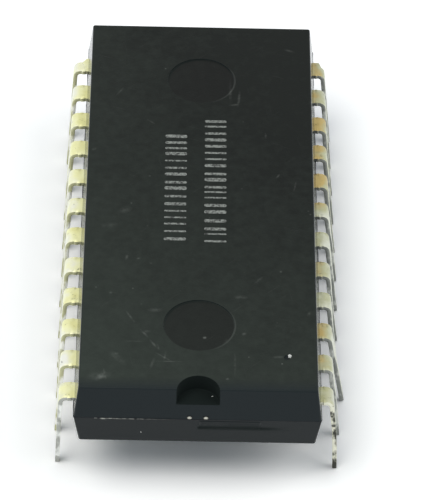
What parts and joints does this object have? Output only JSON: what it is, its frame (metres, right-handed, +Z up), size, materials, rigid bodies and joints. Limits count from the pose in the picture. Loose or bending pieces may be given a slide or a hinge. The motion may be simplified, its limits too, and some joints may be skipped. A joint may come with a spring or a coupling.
{
  "type": "dual in-line integrated circuit",
  "caption": "Black plastic dual-in-line chip package with splayed, tarnished tinned leads in two rows, an end notch and round ejector marks on its top.",
  "frame": {"origin": "centre of the lead grid, in the plane that the lead tips stand on", "axes": "+Z up out of the printed face, +Y along the body away from the notched end, +X towards leads 1 to 12"},
  "size_m": [0.0169, 0.0318, 0.0079],
  "materials": {
    "moulding_compound": "satin",
    "tinned_lead": "satin",
    "lead_frame_alloy": "satin",
    "silver_epoxy": "matte",
    "silicon": "polished",
    "gold_wire": "polished"
  },
  "bodies": {
    "root": {"moulded_body": "moulding_compound", "lead_01": "tinned_lead", "lead_02": "tinned_lead", "lead_03": "tinned_lead", "lead_04": "tinned_lead", "lead_05": "tinned_lead", "lead_06": "tinned_lead", "lead_07": "tinned_lead", "lead_08": "tinned_lead", "lead_09": "tinned_lead", "lead_10": "tinned_lead", "lead_11": "tinned_lead", "lead_12": "tinned_lead", "lead_13": "tinned_lead", "lead_14": "tinned_lead", "lead_15": "tinned_lead", "lead_16": "tinned_lead", "lead_17": "tinned_lead", "lead_18": "tinned_lead", "lead_19": "tinned_lead", "lead_20": "tinned_lead", "lead_21": "tinned_lead", "lead_22": "tinned_lead", "lead_23": "tinned_lead", "lead_24": "tinned_lead", "die_paddle": "lead_frame_alloy", "die_attach": "silver_epoxy", "silicon_die": "silicon", "bond_wire_01": "gold_wire", "bond_wire_02": "gold_wire", "bond_wire_03": "gold_wire", "bond_wire_04": "gold_wire", "bond_wire_05": "gold_wire", "bond_wire_06": "gold_wire", "bond_wire_07": "gold_wire", "bond_wire_08": "gold_wire", "bond_wire_09": "gold_wire", "bond_wire_10": "gold_wire", "bond_wire_11": "gold_wire", "bond_wire_12": "gold_wire", "bond_wire_13": "gold_wire", "bond_wire_14": "gold_wire", "bond_wire_15": "gold_wire", "bond_wire_16": "gold_wire", "bond_wire_17": "gold_wire", "bond_wire_18": "gold_wire", "bond_wire_19": "gold_wire", "bond_wire_20": "gold_wire", "bond_wire_21": "gold_wire", "bond_wire_22": "gold_wire", "bond_wire_23": "gold_wire", "bond_wire_24": "gold_wire"}
  },
  "joints": []
}
